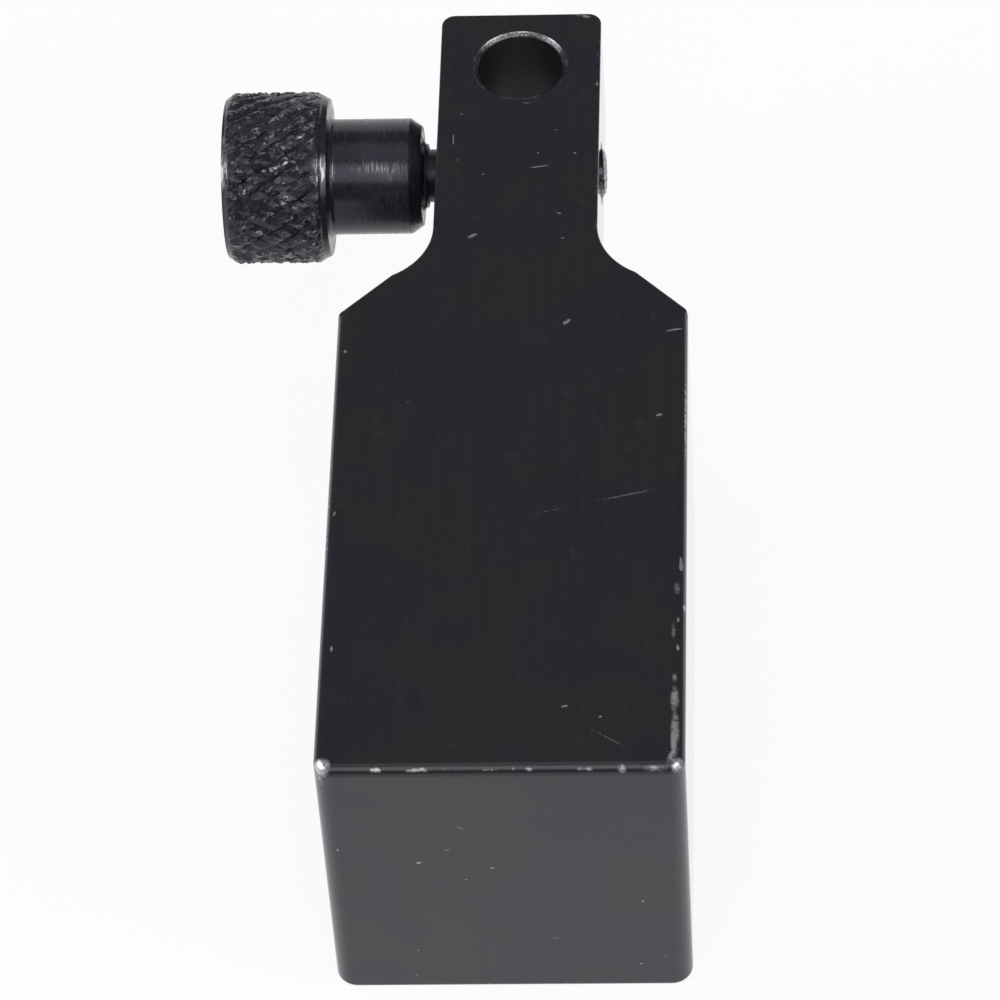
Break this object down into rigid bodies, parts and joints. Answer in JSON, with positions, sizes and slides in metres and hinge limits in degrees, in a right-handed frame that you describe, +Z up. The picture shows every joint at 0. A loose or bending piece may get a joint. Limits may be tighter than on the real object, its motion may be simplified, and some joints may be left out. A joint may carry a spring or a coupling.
{
  "type": "dial indicator holder",
  "caption": "Square steel block with a thinner neck that holds a dial indicator by its stem, clamped by a knurled thumbscrew through a scalloped plug.",
  "frame": {"origin": "middle of the block's straight part, on the base face that the holder stands on", "axes": "+X to the side away from the knob, +Y from the block towards the neck's end, +Z up, along the stem's bore"},
  "size_m": [0.0522, 0.1075, 0.0399],
  "materials": {
    "blackened_steel_body": "satin black oxide, worn bright along the edges",
    "blackened_steel_knob": "turned and knurled, blue-black oxide, crests worn bright",
    "worn_steel_stud": "turned, oxide partly rubbed off",
    "bare_steel_plug": "turned, bare, slightly dull"
  },
  "bodies": {
    "holder": {"holder_body": "blackened_steel_body"},
    "screw_stud": {"thumbscrew_stud": "worn_steel_stud"},
    "screw_knob": {"thumbscrew_knob": "blackened_steel_knob"},
    "plug": {"clamp_plug": "bare_steel_plug"}
  },
  "joints": [
    {"name": "screw_travel", "type": "slide", "parent": "holder", "child": "screw_stud", "axis": [1, 0, 0], "range_m": [-0.00254, 0.00169]},
    {"name": "knob_turn", "type": "hinge", "parent": "screw_stud", "child": "screw_knob", "pos_m": [0, 0.05887, 0.03015], "axis": [1, 0, 0], "range_deg": [-720, 480]},
    {"name": "plug_travel", "type": "slide", "parent": "holder", "child": "plug", "axis": [1, 0, 0], "range_m": [0, 0.0008]}
  ],
  "couplings": [
    {"joint": "knob_turn", "follows": "screw_travel", "rad_per_m": 4947.4}
  ]
}
